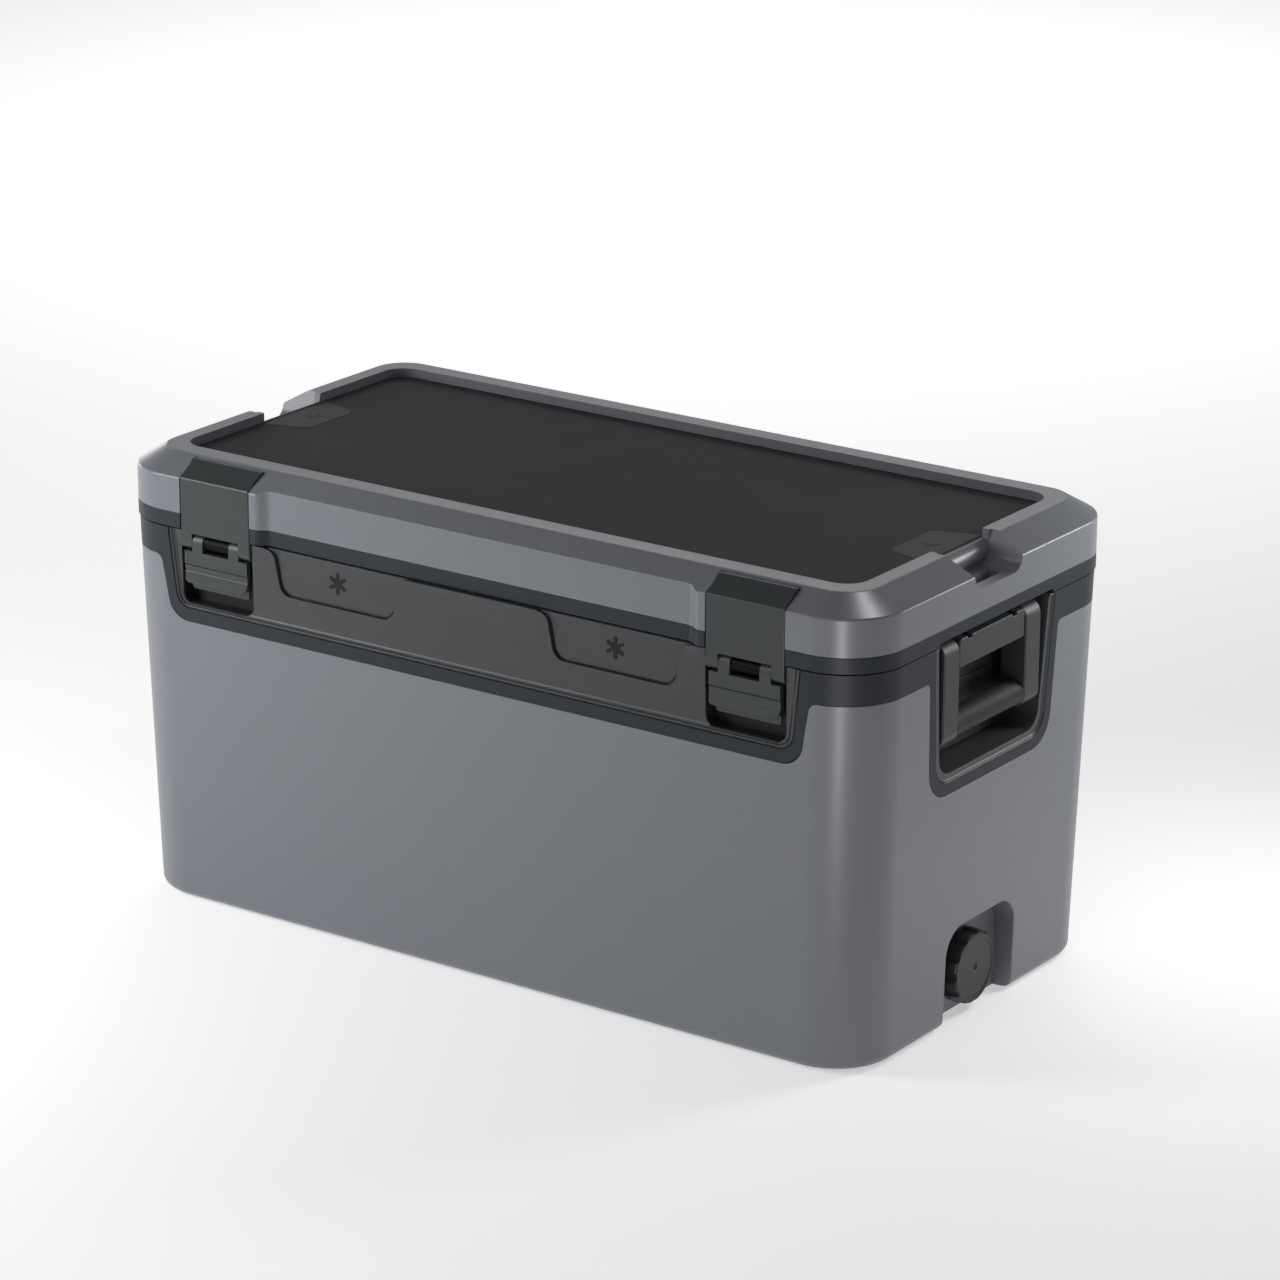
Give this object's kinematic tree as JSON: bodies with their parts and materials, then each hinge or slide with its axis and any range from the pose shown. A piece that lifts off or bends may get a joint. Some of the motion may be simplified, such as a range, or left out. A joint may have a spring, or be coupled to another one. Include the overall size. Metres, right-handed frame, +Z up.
{
  "type": "hard ice chest cooler",
  "caption": "Hard-walled insulated ice chest with a hinged padded lid, front lid latches, swing-up end handles and a screw-down drain cap.",
  "frame": {"origin": "on the floor under the middle of the chest", "axes": "+X along the length to the drain end, +Y to the rear hinge side, +Z up"},
  "size_m": [0.8, 0.4114, 0.4207],
  "materials": {
    "shell_grey": "rotomoulded grey polyethylene, fine grain, satin",
    "navy_trim": "dark bluish navy moulding, fine texture",
    "dark_panel": "dark grey moulding, fine texture",
    "latch_plastic": "dark grey glass-filled nylon, satin",
    "handle_plastic": "dark grey nylon, satin",
    "grip_rubber": "black ribbed rubber",
    "mat_rubber": "charcoal foam-rubber deck mat, fine grain",
    "foot_rubber": "black rubber",
    "seal_rubber": "grey sealing rubber",
    "roller_black": "glossy black plastic",
    "drain_plastic": "charcoal plastic",
    "liner_white": "white food-safe polyethylene",
    "insulation": "closed-cell foam core",
    "steel": "stainless steel"
  },
  "bodies": {
    "body": {"outer_shell": "shell_grey", "body_foam": "insulation", "inner_liner": "liner_white", "body_collar": "navy_trim", "front_panel": "dark_panel", "foot_front_left": "foot_rubber", "foot_front_right": "foot_rubber", "foot_rear_left": "foot_rubber", "foot_rear_right": "foot_rubber", "drain_fitting": "drain_plastic", "drain_nut": "drain_plastic", "accessory_cover_left": "dark_panel", "handle_pocket_left": "dark_panel", "handle_bracket_left": "handle_plastic", "handle_screw_front_left": "steel", "handle_screw_rear_left": "steel", "handle_pin_left": "steel", "latch_well_left": "dark_panel", "latch_keeper_left": "steel", "body_hinge_left": "steel", "hinge_pin_left": "steel", "accessory_cover_right": "dark_panel", "handle_pocket_right": "dark_panel", "handle_bracket_right": "handle_plastic", "handle_screw_front_right": "steel", "handle_screw_rear_right": "steel", "handle_pin_right": "steel", "latch_well_right": "dark_panel", "latch_keeper_right": "steel", "body_hinge_right": "steel", "hinge_pin_right": "steel"},
    "lid": {"lid_outer": "shell_grey", "lid_trim": "navy_trim", "lid_foam": "insulation", "lid_inner": "liner_white", "lid_mat": "mat_rubber", "lid_gasket": "seal_rubber", "lid_hinge_left": "steel", "strap_pin_left": "steel", "lid_hinge_right": "steel", "strap_pin_right": "steel"},
    "latch_strap_left": {"latch_strap_left": "latch_plastic", "latch_pin_left": "steel"},
    "latch_lever_left": {"latch_lever_left": "latch_plastic", "latch_roller_left": "roller_black"},
    "handle_left": {"handle_frame_left": "handle_plastic", "handle_grip_left": "grip_rubber"},
    "latch_strap_right": {"latch_strap_right": "latch_plastic", "latch_pin_right": "steel"},
    "latch_lever_right": {"latch_lever_right": "latch_plastic", "latch_roller_right": "roller_black"},
    "handle_right": {"handle_frame_right": "handle_plastic", "handle_grip_right": "grip_rubber"},
    "drain_washer": {"drain_washer": "seal_rubber"},
    "drain_cap": {"drain_cap": "drain_plastic"}
  },
  "joints": [
    {"name": "lid_hinge", "type": "hinge", "parent": "body", "child": "lid", "pos_m": [0, 0.1987, 0.358], "axis": [-1, 0, 0], "range_deg": [0, 95]},
    {"name": "latch_strap_left_hinge", "type": "hinge", "parent": "lid", "child": "latch_strap_left", "pos_m": [-0.2815, -0.1855, 0.4148], "axis": [-1, 0, 0], "range_deg": [0, 100]},
    {"name": "latch_lever_left_hinge", "type": "hinge", "parent": "latch_strap_left", "child": "latch_lever_left", "pos_m": [-0.2815, -0.1979, 0.3475], "axis": [-1, 0, 0], "range_deg": [-5, 75]},
    {"name": "latch_strap_right_hinge", "type": "hinge", "parent": "lid", "child": "latch_strap_right", "pos_m": [0.2815, -0.1855, 0.4148], "axis": [-1, 0, 0], "range_deg": [0, 100]},
    {"name": "latch_lever_right_hinge", "type": "hinge", "parent": "latch_strap_right", "child": "latch_lever_right", "pos_m": [0.2815, -0.1979, 0.3475], "axis": [-1, 0, 0], "range_deg": [-5, 75]},
    {"name": "handle_left_swing", "type": "hinge", "parent": "body", "child": "handle_left", "pos_m": [-0.384, 0, 0.3425], "axis": [0, 1, 0], "range_deg": [0, 90]},
    {"name": "handle_right_swing", "type": "hinge", "parent": "body", "child": "handle_right", "pos_m": [0.384, 0, 0.3425], "axis": [0, -1, 0], "range_deg": [0, 90]},
    {"name": "drain_cap_travel", "type": "slide", "parent": "body", "child": "drain_washer", "axis": [1, 0, 0], "range_m": [0, 0.006]},
    {"name": "drain_cap_turn", "type": "hinge", "parent": "drain_washer", "child": "drain_cap", "pos_m": [0.38, 0, 0.04], "axis": [1, 0, 0], "range_deg": [0, 720]}
  ],
  "couplings": [
    {"joint": "drain_cap_travel", "follows": "drain_cap_turn", "m_per_rad": 0.00047746}
  ]
}
